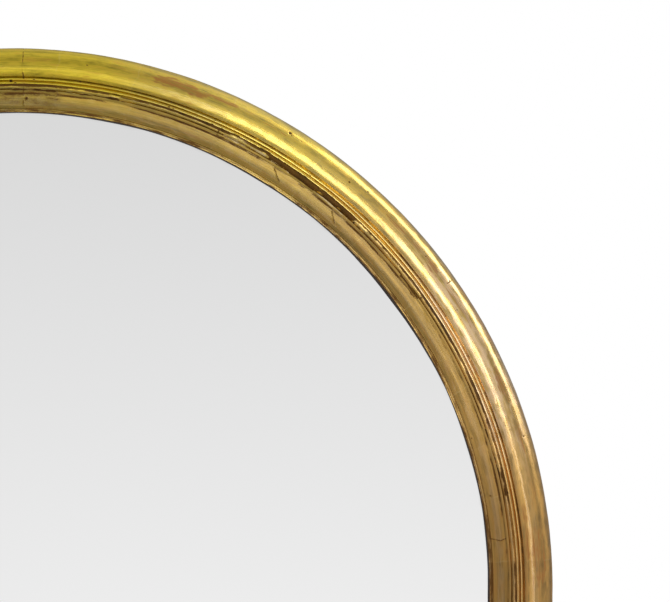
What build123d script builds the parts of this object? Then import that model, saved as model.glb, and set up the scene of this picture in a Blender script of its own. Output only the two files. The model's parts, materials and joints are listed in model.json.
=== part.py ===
from build123d import *
from math import cos, degrees, radians, sin
import os

# Overmantel mirror with a half round head: a gilded softwood moulding round a silvered plate.
# Millimetres. +Z is up and the front looks towards -Y. The origin is on the underside, in the
# middle of the width and of the frame's depth.

# Overall sizes
overall_width = 850.0
overall_height = 1150.0
frame_depth = 36.0

# The moulding's members, as widths from the outer edge to the sight edge
roll_radius = 12.5
roll_width = 23.0
bead_width = 2.95
groove_width = 4.0
fillet_width = 2.3
cove_width = 11.2
sight_bead_width = 2.4
sight_round = 1.2

# Their depths below the front of the roll
bead_setback = 7.6
bead_step = 0.5
groove_depth = 1.9
fillet_setback = 8.8
cove_setback = 10.0
cove_drop = 3.6
cove_hollow = 0.6
sight_bead_rise = 0.9

# Rebates at the back: the plate's own, and a wider one for the boards
plate_rebate = 8.0
board_rebate = 8.0

# Plate, boards and the space between them
plate_thickness = 4.0
plate_gap = 1.5
board_thickness = 6.0
board_gap = 0.75
board_count = 4
board_lap = 5.0
seam_gap = 0.3
block_space = 6.0

# Wedges glued round the plate
block_length = 32.0
block_toe = 2.0
block_reach = 6.5
block_clearance = 0.3
arch_block_step = 26.0
arch_block_count = 7
side_block_count = 3
bottom_block_count = 3

# Segment joints, as clock angles from the top, and their loose tongues
crown_joint_angle = 1.2
haunch_joint_angle = 45.0
tongue_length = 24.0
tongue_width = 18.0
tongue_thickness = 5.0
tongue_from_back = 12.5
corner_tongue_length = 18.0
glue_gap = 0.1

# Screws with round slotted heads
board_screw_radius = 1.5
board_screw_length = 15.0
board_screw_head_radius = 3.0
saddle_screw_radius = 1.75
saddle_screw_length = 14.0
saddle_screw_head_radius = 3.2
screw_head_height = 1.6
screw_point_length = 3.0
screw_slot_width = 0.7
screw_slot_depth = 0.8
screw_hole_gap = 0.05
board_screw_inset = 4.2
seam_screw_offset = 22.0
low_screw_offset = 36.0
arch_screw_step = 15.0
arch_screw_count = 12
bottom_screw_pitch = 200.0
bottom_screw_count = 4

# Hanging rings, their saddles and the pads
ring_wire_radius = 1.5
ring_half_width = 12.5
ring_leg = 10.0
ring_corner_radius = 3.0
ring_clearance = 0.08
ring_below_spring = 65.0
saddle_width = 12.0
saddle_thickness = 1.5
saddle_reach = 13.0
saddle_screw_offset = 8.8
saddle_end_round = 4.5
bumper_radius = 9.0
bumper_thickness = 6.0
bumper_height = 48.0
bumper_edge_round = 1.0

# Worked out from the sizes above
half_width = overall_width / 2
spring_height = overall_height - half_width
back_y = frame_depth / 2
beads_start = roll_width
groove_start = beads_start + 2 * bead_width
fillet_start = groove_start + groove_width
cove_start = fillet_start + fillet_width
sight_bead_start = cove_start + cove_width
moulding_width = sight_bead_start + sight_bead_width + sight_round
plate_wall = moulding_width - plate_rebate
board_wall = plate_wall - board_rebate
plate_back = board_thickness + block_space
lip_back = plate_back + plate_thickness
wood_middle = board_wall / 2
ring_height = spring_height - ring_below_spring
ring_pivot_y = back_y + ring_wire_radius + ring_clearance
arch_axis = Axis((0, 0, spring_height), (0, -1, 0))


# Planes in which a section is drawn: local x runs outwards, local y to the back.
def arch_plane(clock_angle):
    turn = radians(90 - clock_angle)
    outwards = (cos(turn), 0, sin(turn))
    return Plane(origin=(0, 0, spring_height), x_dir=outwards, z_dir=(-sin(turn), 0, cos(turn)))


def side_plane(height):
    return Plane.XY.offset(height)


def bottom_plane(x):
    return Plane(origin=(x, 0, half_width), x_dir=(0, 0, -1), z_dir=(1, 0, 0))


# A plane parallel to the wall, so far in front of the frame's back
def depth_plane(from_back):
    return Plane.XZ.offset(from_back - back_y)


# A point of a section, given as its distance in from the outer edge and forward from the back
def at(inwards, forward):
    return (half_width - inwards, back_y - forward)


def moulding_section(plane):
    roll_top = frame_depth - roll_radius
    roll_end = roll_top + (roll_radius**2 - (roll_width - roll_radius) ** 2) ** 0.5
    bead_foot = frame_depth - bead_setback
    second_foot = bead_foot - bead_step
    groove_edge = second_foot - bead_step
    fillet_top = frame_depth - fillet_setback
    cove_top = frame_depth - cove_setback
    cove_foot = cove_top - cove_drop
    bead_middle = sight_bead_start + sight_bead_width / 2
    sight_top = cove_foot - sight_round
    with BuildSketch(plane) as section:
        with BuildLine():
            Line(at(0, 0), at(0, roll_top))
            ThreePointArc(at(0, roll_top), at(roll_radius, frame_depth), at(roll_width, roll_end))
            Line(at(roll_width, roll_end), at(beads_start, bead_foot))
            ThreePointArc(
                at(beads_start, bead_foot),
                at(beads_start + bead_width / 2, bead_foot + bead_width / 2 - bead_step / 2),
                at(beads_start + bead_width, second_foot),
            )
            ThreePointArc(
                at(beads_start + bead_width, second_foot),
                at(beads_start + 1.5 * bead_width, second_foot + bead_width / 2 - bead_step / 2),
                at(groove_start, groove_edge),
            )
            ThreePointArc(
                at(groove_start, groove_edge),
                at(groove_start + groove_width / 2, fillet_top - groove_depth),
                at(fillet_start, fillet_top),
            )
            Line(at(fillet_start, fillet_top), at(cove_start, fillet_top))
            Line(at(cove_start, fillet_top), at(cove_start, cove_top))
            ThreePointArc(
                at(cove_start, cove_top),
                at(cove_start + cove_width / 2, cove_top - cove_drop / 2 - cove_hollow),
                at(sight_bead_start, cove_foot),
            )
            ThreePointArc(
                at(sight_bead_start, cove_foot),
                at(bead_middle, cove_foot + sight_bead_rise),
                at(moulding_width - sight_round, cove_foot),
            )
            RadiusArc(at(moulding_width - sight_round, cove_foot), at(moulding_width, sight_top), -sight_round)
            Polyline(
                at(moulding_width, sight_top),
                at(moulding_width, lip_back),
                at(plate_wall, lip_back),
                at(plate_wall, board_thickness),
                at(board_wall, board_thickness),
                at(board_wall, 0),
                at(0, 0),
            )
        make_face()
    return section.sketch


def block_section(plane):
    with BuildSketch(plane) as section:
        with BuildLine():
            Polyline(
                at(plate_wall, board_thickness + block_clearance),
                at(plate_wall, plate_back),
                at(plate_wall + block_reach, plate_back),
                at(plate_wall + block_toe, board_thickness + block_clearance),
                close=True,
            )
        make_face()
    return section.sketch


# A flat arched outline, so far inside the frame's outer edge
def arched_outline(inset):
    radius = half_width - inset
    rise = spring_height - inset
    with Locations((0, inset + rise / 2)):
        Rectangle(2 * radius, rise)
    with Locations((0, spring_height)):
        Circle(radius)


# The seven joints, each as the plane that its tongue crosses: the plane's z runs along the
# tongue, its x across the moulding and its y through the frame's depth.
tongue_radius = half_width - wood_middle
tongue_y = back_y - tongue_from_back


def arch_joint_plane(clock_angle):
    plane = arch_plane(clock_angle)
    return Plane(plane.from_local_coords((tongue_radius, tongue_y, 0)), x_dir=plane.x_dir, z_dir=plane.z_dir)


crown_joint = arch_joint_plane(crown_joint_angle)
haunch_right = arch_joint_plane(haunch_joint_angle)
haunch_left = arch_joint_plane(-haunch_joint_angle)
spring_right = arch_joint_plane(90)
spring_left = arch_joint_plane(-90)
corner_inset = (moulding_width - plate_rebate) / 2
corner_right = Plane(
    (half_width - corner_inset, tongue_y, corner_inset), x_dir=(1, 0, -1), z_dir=(1, 0, 1)
)
corner_left = Plane(
    (corner_inset - half_width, tongue_y, corner_inset), x_dir=(1, 0, 1), z_dir=(1, 0, -1)
)


def tongue_block(joint, length, gap, mode):
    with Locations(joint):
        Box(tongue_width + 2 * gap, tongue_thickness + 2 * gap, length + 2 * gap, mode=mode)


def tongue_slot(joint, length=tongue_length):
    tongue_block(joint, length, glue_gap, Mode.SUBTRACT)


# Where the boards meet, as seen from the back, and where the screws go
board_low = board_wall + board_gap
board_high = overall_height - board_low
board_pitch = (board_high - board_low) / board_count
seams = [board_low + board_pitch * i for i in range(1, board_count)]
screw_line = board_wall + board_screw_inset
screw_radius_line = half_width - screw_line


def arch_point(clock_angle):
    turn = radians(clock_angle)
    return (screw_radius_line * sin(turn), spring_height + screw_radius_line * cos(turn))


arch_screw_angles = [arch_screw_step * (i - (arch_screw_count - 1) / 2) for i in range(arch_screw_count)]
side_screw_heights = [board_low + low_screw_offset]
for seam in seams:
    for height in (seam - seam_screw_offset, seam + seam_screw_offset):
        if height < spring_height - seam_screw_offset:
            side_screw_heights.append(height)
bottom_screw_xs = [bottom_screw_pitch * (i - (bottom_screw_count - 1) / 2) for i in range(bottom_screw_count)]
board_screw_points = [arch_point(angle) for angle in arch_screw_angles]
for height in side_screw_heights:
    board_screw_points += [(-screw_radius_line, height), (screw_radius_line, height)]
board_screw_points += [(x, screw_line) for x in bottom_screw_xs]

ring_x = half_width - wood_middle
ring_places = [(-ring_x, ring_height), (ring_x, ring_height)]
saddle_screw_points = []
for x, height in ring_places:
    saddle_screw_points += [(x, height - saddle_screw_offset), (x, height + saddle_screw_offset)]


def screw_holes(points, from_back, radius, length):
    with BuildSketch(depth_plane(from_back)) as holes:
        with Locations(*points):
            Circle(radius + screw_hole_gap)
    extrude(holes.sketch, amount=length, mode=Mode.SUBTRACT)


def frame_screw_holes():
    screw_holes(board_screw_points, board_thickness, board_screw_radius, board_screw_length - board_thickness)
    screw_holes(saddle_screw_points, 0, saddle_screw_radius, saddle_screw_length - saddle_thickness)


# Frame: the arch is four segments, from the left spring line over the crown to the right one.
def arch_segment(start_angle, end_angle):
    section = moulding_section(arch_plane(end_angle))
    revolve(section, axis=arch_axis, revolution_arc=end_angle - start_angle)


with BuildPart() as arch_left_lower:
    arch_segment(-90, -haunch_joint_angle)
    tongue_slot(spring_left)
    tongue_slot(haunch_left)
    frame_screw_holes()
arch_left_lower.part.label = "arch_left_lower"

with BuildPart() as arch_left_upper:
    arch_segment(-haunch_joint_angle, crown_joint_angle)
    tongue_slot(haunch_left)
    tongue_slot(crown_joint)
    frame_screw_holes()
arch_left_upper.part.label = "arch_left_upper"

with BuildPart() as arch_right_upper:
    arch_segment(crown_joint_angle, haunch_joint_angle)
    tongue_slot(crown_joint)
    tongue_slot(haunch_right)
    frame_screw_holes()
arch_right_upper.part.label = "arch_right_upper"

with BuildPart() as arch_right_lower:
    arch_segment(haunch_joint_angle, 90)
    tongue_slot(haunch_right)
    tongue_slot(spring_right)
    frame_screw_holes()
arch_right_lower.part.label = "arch_right_lower"

# The straight members meet on mitres at the bottom corners.
right_mitre = Plane((half_width, 0, 0), x_dir=(1, 0, -1), z_dir=(1, 0, 1))
left_mitre = Plane((-half_width, 0, 0), x_dir=(1, 0, 1), z_dir=(-1, 0, 1))

with BuildPart() as stile_right:
    extrude(moulding_section(side_plane(0)), amount=spring_height)
    split(bisect_by=right_mitre, keep=Keep.TOP)
    tongue_slot(spring_right)
    tongue_slot(corner_right, corner_tongue_length)
    frame_screw_holes()
stile_right.part.label = "stile_right"

with BuildPart() as stile_left:
    mirror(stile_right.part, about=Plane.YZ)
stile_left.part.label = "stile_left"

with BuildPart() as bottom_rail:
    extrude(moulding_section(bottom_plane(-half_width)), amount=overall_width)
    split(bisect_by=right_mitre, keep=Keep.BOTTOM)
    split(bisect_by=left_mitre, keep=Keep.BOTTOM)
    tongue_slot(corner_right, corner_tongue_length)
    tongue_slot(corner_left, corner_tongue_length)
    frame_screw_holes()
bottom_rail.part.label = "bottom_rail"

# Loose tongues: flat slips of beech, glued across the joints
tongue_joints = {
    "crown_tongue": (crown_joint, tongue_length),
    "haunch_tongue_left": (haunch_left, tongue_length),
    "haunch_tongue_right": (haunch_right, tongue_length),
    "spring_tongue_left": (spring_left, tongue_length),
    "spring_tongue_right": (spring_right, tongue_length),
    "corner_tongue_left": (corner_left, corner_tongue_length),
    "corner_tongue_right": (corner_right, corner_tongue_length),
}
tongues = []
for name, (joint, length) in tongue_joints.items():
    with BuildPart() as tongue:
        tongue_block(joint, length, 0, Mode.ADD)
    tongue.part.label = name
    tongues.append(tongue)

# Silvered plate, which lies on the back of the frame's lip
with BuildPart() as mirror_plate:
    with BuildSketch(depth_plane(plate_back)):
        arched_outline(plate_wall + plate_gap)
    extrude(amount=plate_thickness)
mirror_plate.part.label = "mirror_plate"

# Wedges, glued to the rebate's wall and pressed against the back of the plate
straight_low = moulding_width
straight_run = spring_height - straight_low
block_turn = degrees(block_length / (half_width - plate_wall))
with BuildPart() as glazing_blocks:
    for i in range(arch_block_count):
        middle = arch_block_step * (i - (arch_block_count - 1) / 2)
        section = block_section(arch_plane(middle + block_turn / 2))
        revolve(section, axis=arch_axis, revolution_arc=block_turn)
    for i in range(side_block_count):
        middle = straight_low + straight_run * (i + 0.5) / side_block_count
        side_block = extrude(block_section(side_plane(middle - block_length / 2)), amount=block_length)
        mirror(side_block, about=Plane.YZ)
    for i in range(bottom_block_count):
        middle = 2 * (half_width - moulding_width) * ((i + 0.5) / bottom_block_count - 0.5)
        extrude(block_section(bottom_plane(middle - block_length / 2)), amount=block_length)
glazing_blocks.part.label = "glazing_blocks"

# Pine boards that close the back, each half lapped over the next
board_names = ["back_board_bottom", "back_board_lower", "back_board_upper", "back_board_top"]
board_edges = [board_low] + seams + [board_high]
back_boards = []
for i, name in enumerate(board_names):
    first, last = i == 0, i == board_count - 1
    with BuildPart() as board:
        for layer, lap in ((0, 0), (1, board_lap)):
            low = board_edges[i] + (0 if first else lap + seam_gap)
            high = board_edges[i + 1] + (0 if last else lap)
            with BuildSketch(depth_plane(layer * board_thickness / 2)):
                arched_outline(board_low)
                with Locations((0, (low + high) / 2)):
                    Rectangle(overall_width, high - low, mode=Mode.INTERSECT)
            extrude(amount=board_thickness / 2)
        screw_holes(board_screw_points, 0, board_screw_radius, board_thickness)
    board.part.label = name
    back_boards.append(board)


# Screws with their heads' seats on the given plane: pointed shanks, domed heads, level slots
def screws(points, seat, radius, length, head_radius):
    dome_radius = (head_radius**2 + screw_head_height**2) / (2 * screw_head_height)
    for x, z in points:
        with BuildSketch(Plane((x, back_y - seat, z), x_dir=(1, 0, 0), z_dir=(0, 0, 1))) as outline:
            with BuildLine():
                Line((0, -length), (0, screw_head_height))
                RadiusArc((0, screw_head_height), (head_radius, 0), dome_radius)
                Polyline(
                    (head_radius, 0),
                    (radius, 0),
                    (radius, screw_point_length - length),
                    (0, -length),
                )
            make_face()
        revolve(outline.sketch, axis=Axis((x, 0, z), (0, 1, 0)))
    with BuildSketch(depth_plane(seat - screw_head_height + screw_slot_depth)) as slots:
        with Locations(*points):
            Rectangle(2 * head_radius, screw_slot_width)
    extrude(slots.sketch, amount=-screw_head_height, mode=Mode.SUBTRACT)


with BuildPart() as backboard_screws:
    screws(board_screw_points, 0, board_screw_radius, board_screw_length, board_screw_head_radius)
backboard_screws.part.label = "backboard_screws"

with BuildPart() as saddle_screws:
    screws(
        saddle_screw_points,
        -saddle_thickness,
        saddle_screw_radius,
        saddle_screw_length,
        saddle_screw_head_radius,
    )
saddle_screws.part.label = "saddle_screws"

# Hanging rings: a wire D whose straight bar turns under a steel saddle on the stile's back
saddle_bore = ring_wire_radius + ring_clearance
hangers = []
for side, (x, height) in zip(("left", "right"), ring_places):
    with BuildPart() as saddle:
        with BuildSketch(Plane((x, back_y, height), x_dir=(0, 1, 0), z_dir=(1, 0, 0))):
            with Locations((saddle_thickness / 2, 0)):
                Rectangle(saddle_thickness, 2 * saddle_reach)
            with Locations((saddle_bore, 0)):
                Circle(saddle_bore + saddle_thickness)
            with Locations((-saddle_bore, 0)):
                Rectangle(2 * saddle_bore, 2 * saddle_reach, mode=Mode.SUBTRACT)
            with Locations((saddle_bore, 0)):
                Circle(saddle_bore, mode=Mode.SUBTRACT)
            with Locations((saddle_bore / 2, 0)):
                Rectangle(saddle_bore, 2 * saddle_bore, mode=Mode.SUBTRACT)
        extrude(amount=saddle_width / 2, both=True)
        tab_ends = saddle.edges().filter_by(Axis.Y).group_by(Axis.Z)
        fillet(tab_ends[0] + tab_ends[-1], saddle_end_round)
        with BuildSketch(depth_plane(-saddle_thickness)):
            with Locations((x, height - saddle_screw_offset), (x, height + saddle_screw_offset)):
                Circle(saddle_screw_radius + screw_hole_gap)
        extrude(amount=saddle_thickness, mode=Mode.SUBTRACT)
    saddle.part.label = f"hanger_saddle_{side}"
    hangers.append(saddle)

    ring_plane = Plane((x, ring_pivot_y, height), x_dir=(1, 0, 0), z_dir=(0, -1, 0))
    bar = ring_half_width - ring_corner_radius
    with BuildPart() as ring:
        with BuildLine(ring_plane):
            Line((-bar, 0), (bar, 0))
            RadiusArc((bar, 0), (ring_half_width, -ring_corner_radius), ring_corner_radius)
            Line((ring_half_width, -ring_corner_radius), (ring_half_width, -ring_leg))
            ThreePointArc(
                (ring_half_width, -ring_leg),
                (0, -ring_leg - ring_half_width),
                (-ring_half_width, -ring_leg),
            )
            Line((-ring_half_width, -ring_leg), (-ring_half_width, -ring_corner_radius))
            RadiusArc((-ring_half_width, -ring_corner_radius), (-bar, 0), ring_corner_radius)
        with BuildSketch(Plane((x - bar, ring_pivot_y, height), x_dir=(0, 1, 0), z_dir=(1, 0, 0))):
            Circle(ring_wire_radius)
        sweep()
    ring.part.label = f"hanging_ring_{side}"
    hangers.append(ring)

    with BuildPart() as bumper:
        with BuildSketch(depth_plane(0)):
            with Locations((x, bumper_height)):
                Circle(bumper_radius)
        extrude(amount=-bumper_thickness)
        fillet(bumper.faces().sort_by(Axis.Y)[-1].edges(), bumper_edge_round)
    bumper.part.label = f"wall_bumper_{side}"
    hangers.append(bumper)

os.makedirs("parts", exist_ok=True)
frame_members = [
    arch_left_lower,
    arch_left_upper,
    arch_right_upper,
    arch_right_lower,
    stile_left,
    stile_right,
    bottom_rail,
]
fittings = [mirror_plate, glazing_blocks, backboard_screws, saddle_screws]
for piece in frame_members + tongues + fittings + back_boards + hangers:
    export_step(piece.part, f"parts/{piece.part.label}.step")
print(f"moulding {moulding_width:.2f} wide, sight width {overall_width - 2 * moulding_width:.2f}")
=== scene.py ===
import json
import math

import bpy
import numpy as np
from mathutils import Matrix, Vector

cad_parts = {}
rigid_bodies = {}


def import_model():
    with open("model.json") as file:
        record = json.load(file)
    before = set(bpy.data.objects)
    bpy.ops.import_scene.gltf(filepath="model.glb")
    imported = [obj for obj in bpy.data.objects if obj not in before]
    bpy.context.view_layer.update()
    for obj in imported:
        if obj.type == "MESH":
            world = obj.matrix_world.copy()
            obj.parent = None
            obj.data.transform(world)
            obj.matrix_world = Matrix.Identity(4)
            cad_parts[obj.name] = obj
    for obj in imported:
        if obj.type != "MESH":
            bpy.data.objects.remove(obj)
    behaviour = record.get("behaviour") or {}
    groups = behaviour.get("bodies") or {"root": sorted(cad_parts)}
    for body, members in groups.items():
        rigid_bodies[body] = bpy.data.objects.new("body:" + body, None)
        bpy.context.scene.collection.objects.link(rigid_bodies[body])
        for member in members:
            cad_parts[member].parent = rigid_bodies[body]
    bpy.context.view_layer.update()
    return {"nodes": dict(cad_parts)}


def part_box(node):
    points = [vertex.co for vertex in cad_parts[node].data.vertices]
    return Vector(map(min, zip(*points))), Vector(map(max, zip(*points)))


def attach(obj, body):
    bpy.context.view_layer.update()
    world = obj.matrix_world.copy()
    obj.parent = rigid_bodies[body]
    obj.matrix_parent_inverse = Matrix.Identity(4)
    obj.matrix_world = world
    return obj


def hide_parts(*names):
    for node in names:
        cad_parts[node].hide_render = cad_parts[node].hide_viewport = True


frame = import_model()

# The moulding's section. Seven lengths of softwood are planed to it: a tall outer roll, two small
# beads, a hollow, a fillet, a shallow cove and a bead at the sight edge. Behind the lip the wood is
# rebated for the glass and again for the boards. Lengths are in millimetres until a mesh is made.
MM = 0.001
arch_low, arch_high = (np.array(corner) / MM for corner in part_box("arch_right_lower"))
half_width, back_y, spring_height = arch_high[0], arch_high[1], arch_low[2]
frame_depth = back_y - arch_low[1]
roll_radius, roll_width = 12.5, 23.0
bead_width, bead_setback, bead_step = 2.95, 7.6, 0.5
groove_width, groove_depth = 4.0, 1.9
fillet_width, fillet_setback = 2.3, 8.8
cove_width, cove_setback, cove_drop, cove_hollow = 11.2, 10.0, 3.6, 0.6
sight_bead_width, sight_bead_rise, sight_round = 2.4, 0.9, 1.2
board_thickness, lip_back = 6.0, 16.0
plate_rebate, board_rebate = 8.0, 8.0
gilt_side_foot = 9.0

second_bead = roll_width + bead_width
groove_start = second_bead + bead_width
fillet_start = groove_start + groove_width
cove_start = fillet_start + fillet_width
sight_start = cove_start + cove_width
moulding_width = sight_start + sight_bead_width + sight_round
plate_wall = moulding_width - plate_rebate
board_wall = plate_wall - board_rebate
sight_foot = frame_depth - cove_setback - cove_drop - sight_round
# A strip's finish, which is also the place of its material in a member's list
GILDED, WASHED, BARE = 0, 1, 2


def straight(start, end, steps):
    """Points at equal steps along the line from start up to, but not onto, end."""
    part = np.arange(steps)[:, None] / steps
    return np.array(start) + (np.array(end) - np.array(start)) * part


def arc(start, middle, end, steps):
    """Points at equal turns along the circle through three points, from start up to, but not onto,
    end. The centre is where the bisectors of the two chords meet."""
    a, b, c = (np.array(point, float) for point in (start, middle, end))
    sides = 2 * np.array([b - a, c - a])
    centre = np.linalg.solve(sides, [b @ b - a @ a, c @ c - a @ a])
    first, via, last = (math.atan2(*(point - centre)[::-1]) for point in (a, b, c))
    sweep = (last - first) % (2 * math.pi)
    if (via - first) % (2 * math.pi) > sweep:
        sweep -= 2 * math.pi
    turn = first + sweep * np.arange(steps) / steps
    return centre + np.linalg.norm(a - centre) * np.stack([np.cos(turn), np.sin(turn)], 1)


def moulding_outline():
    """The closed section as rows of (distance in from the outer edge, height off the back), and for each
    row the finish of the strip that starts there: gilded, washed with clay or bare wood."""
    roll_foot = frame_depth - roll_radius
    roll_end = roll_foot + math.sqrt(roll_radius**2 - (roll_width - roll_radius) ** 2)
    bead_foot = frame_depth - bead_setback
    bead_top = bead_width / 2 - bead_step / 2
    fillet_top = frame_depth - fillet_setback
    cove_top = frame_depth - cove_setback
    cove_foot = cove_top - cove_drop
    sight_round_start = moulding_width - sight_round
    slope = sight_round * math.sqrt(0.5)
    strips = [
        (WASHED, straight((0, 0), (0, gilt_side_foot), 5)),
        (GILDED, straight((0, gilt_side_foot), (0, roll_foot), 12)),
        (GILDED, arc((0, roll_foot), (roll_radius, frame_depth), (roll_width, roll_end), 46)),
        (GILDED, straight((roll_width, roll_end), (roll_width, bead_foot), 2)),
        (GILDED, arc((roll_width, bead_foot), (roll_width + bead_width / 2, bead_foot + bead_top),
                     (second_bead, bead_foot - bead_step), 8)),
        (GILDED, arc((second_bead, bead_foot - bead_step),
                     (second_bead + bead_width / 2, bead_foot - bead_step + bead_top),
                     (groove_start, bead_foot - 2 * bead_step), 8)),
        (GILDED, arc((groove_start, bead_foot - 2 * bead_step),
                     (groove_start + groove_width / 2, fillet_top - groove_depth),
                     (fillet_start, fillet_top), 14)),
        (GILDED, straight((fillet_start, fillet_top), (cove_start, fillet_top), 4)),
        (GILDED, straight((cove_start, fillet_top), (cove_start, cove_top), 2)),
        (GILDED, arc((cove_start, cove_top),
                     (cove_start + cove_width / 2, cove_top - cove_drop / 2 - cove_hollow),
                     (sight_start, cove_foot), 18)),
        (GILDED, arc((sight_start, cove_foot),
                     (sight_start + sight_bead_width / 2, cove_foot + sight_bead_rise),
                     (sight_round_start, cove_foot), 9)),
        (GILDED, arc((sight_round_start, cove_foot), (sight_round_start + slope, sight_foot + slope),
                     (moulding_width, sight_foot), 5)),
        (WASHED, straight((moulding_width, sight_foot), (moulding_width, lip_back), 4)),
        (BARE, straight((moulding_width, lip_back), (plate_wall, lip_back), 2)),
        (BARE, straight((plate_wall, lip_back), (plate_wall, board_thickness), 2)),
        (BARE, straight((plate_wall, board_thickness), (board_wall, board_thickness), 2)),
        (BARE, straight((board_wall, board_thickness), (board_wall, 0), 2)),
        (BARE, straight((board_wall, 0), (0, 0), 4)),
    ]
    rows = np.concatenate([points for _, points in strips])
    finish = np.concatenate([np.full(len(points), kind) for kind, points in strips])
    return rows, finish


section, strip_finish = moulding_outline()
section_step = np.linalg.norm(np.roll(section, -1, 0) - section, axis=1)
developed = np.concatenate([[0], np.cumsum(section_step)])
section_lean = np.roll(section, -1, 0) - np.roll(section, 1, 0)
section_normal = np.stack([-section_lean[:, 1], section_lean[:, 0]], 1)
section_normal /= np.linalg.norm(section_normal, axis=1)[:, None]
inwards, height = section.T

# The gilder's surface. Gesso is brushed on in coats and scraped, so the moulding wavers; a shrunken
# joint shows at the crown, the gesso has cracked and chipped along the hollow, and the burnished
# leaf is rubbed through to its red clay on the roll. Places are given as a clock angle from the crown
# and a distance in from the outer edge, and kept as millimetres clockwise along the moulding.
mid_radius = half_width - moulding_width / 2
arch_end = mid_radius * math.pi / 2
stile_end = arch_end + spring_height
lattice_size = 512
lattice = np.random.default_rng(7).random((lattice_size, lattice_size))


def drift(x, y, seed=0):
    """Smooth noise from -1 to 1: random heights on a lattice of whole numbers, blended between the four
    nearest ones by a smooth step of the fractions."""
    x, y = np.broadcast_arrays(x + 37.7 * seed, y + 91.3 * seed)
    column, row = np.floor(x).astype(int), np.floor(y).astype(int)
    across, up = x - column, y - row
    across, up = across**2 * (3 - 2 * across), up**2 * (3 - 2 * up)
    corner = [lattice[(column + i) % lattice_size, (row + j) % lattice_size] for i in (0, 1) for j in (0, 1)]
    left = corner[0] + (corner[1] - corner[0]) * up
    right = corner[2] + (corner[3] - corner[2]) * up
    return 2 * (left + (right - left) * across) - 1


def step(value, low, high):
    """0 below low, 1 above high, and a smooth step between."""
    part = np.clip((value - low) / (high - low), 0, 1)
    return part**2 * (3 - 2 * part)


def at_clock(angle):
    """The place along the moulding, in millimetres from the crown, at a clock angle in degrees."""
    return np.radians(angle) * mid_radius


crown_joint = at_clock(1.2)
# Clay showing: angle, distance in, half length, half breadth and strength
rubs = [(18.4, 9.2, 22, 4.6, 1.0), (22.9, 8.2, 17, 2.2, 0.9), (28.0, 9.0, 24, 3.2, 0.45),
        (11.6, 8.0, 10, 1.8, 0.5), (3.0, 9.6, 16, 1.6, 0.3), (38.0, 8.6, 22, 2.4, 0.3),
        (47.6, 9.3, 23, 1.9, 0.75), (52.7, 9.2, 11, 3.0, 1.0), (57.8, 10.2, 16, 1.8, 0.7),
        (67.0, 9.0, 16, 2.9, 0.95), (72.8, 9.4, 18, 2.2, 0.55), (78.5, 9.5, 14, 3.0, 0.4),
        (61.0, 1.2, 34, 1.2, 0.7), (72.0, 1.0, 30, 1.0, 0.6), (86.5, 10.5, 26, 6.0, 0.7),
        (84.0, 19.6, 26, 2.2, 0.7), (21.0, 42.0, 40, 2.2, 0.4), (49.0, 31.6, 24, 1.0, 0.5),
        (87.0, 33.0, 20, 2.0, 0.5)]
# Pits: angle, distance in and radius
pits = [(31.4, 6.3, 1.3), (31.7, 7.6, 0.7), (32.9, 7.4, 0.6), (39.7, 10.5, 0.9), (41.9, 7.1, 0.8),
        (8.2, 10.3, 0.8), (7.6, 23.4, 0.8), (18.0, 27.4, 1.0), (18.5, 27.6, 0.8), (-0.2, 26.4, 1.1),
        (0.3, 27.6, 0.8), (1.5, 39.4, 1.2), (23.3, 28.5, 0.9), (26.5, 28.6, 0.8), (29.6, 28.6, 1.2),
        (43.0, 31.8, 1.0), (54.6, 31.2, 0.8), (79.1, 29.2, 1.2), (72.0, 45.3, 0.8), (79.1, 42.5, 0.7),
        (2.4, 24.8, 0.7), (3.5, 25.2, 0.6), (35.8, 25.2, 0.6), (73.4, 6.2, 0.7), (23.4, 24.7, 0.6),
        (57.9, 13.2, 0.6), (54.9, 5.2, 0.8), (51.2, 8.8, 0.7)]
# Hairline cracks, each through places of angle and distance in
cracks = [[(31.9, 36.6), (32.4, 39.0), (33.2, 42.8)], [(40.2, 36.8), (40.7, 39.2), (41.4, 42.6)],
          [(24.2, 29.2), (24.2, 34.3), (26.0, 34.8), (31.0, 34.6)], [(54.9, 2.6), (55.0, 5.0), (54.9, 8.4)],
          [(84.3, 35.6), (84.5, 39.0), (84.2, 47.0)], [(5.2, 36.4), (3.0, 35.8), (-1.0, 36.2)]]
# Leaf and gesso lost from the hollow, and pale flakes beside it: two angles, distance in, half breadth
losses = [(31.0, 42.7, 30.1, 1.2), (33.4, 36.9, 31.2, 1.3), (24.5, 30.6, 28.9, 0.5), (9.8, 12.2, 32.2, 0.5),
          (6.2, 15.2, 32.5, 0.1), (0.0, 4.8, 32.4, 0.5), (43.6, 51.0, 29.3, 0.1), (52.0, 60.5, 29.2, 0.1),
          (51.2, 54.4, 33.4, 0.2), (63.6, 70.0, 29.4, 0.2), (71.5, 77.4, 32.3, 0.2), (76.5, 79.3, 29.6, 0.4)]
flakes = [(31.2, 33.5, 32.6, 0.4), (25.0, 27.8, 32.2, 0.3), (37.6, 42.6, 33.3, 0.2), (28.4, 30.2, 31.0, 0.2)]
# Where one sheet of leaf laps the next: angles
laps = [-5.6, 4.9, 13.6, 24.4, 35.6, 44.8, 54.7, 66.4, 73.4, 79.5, 87.0]
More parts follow.
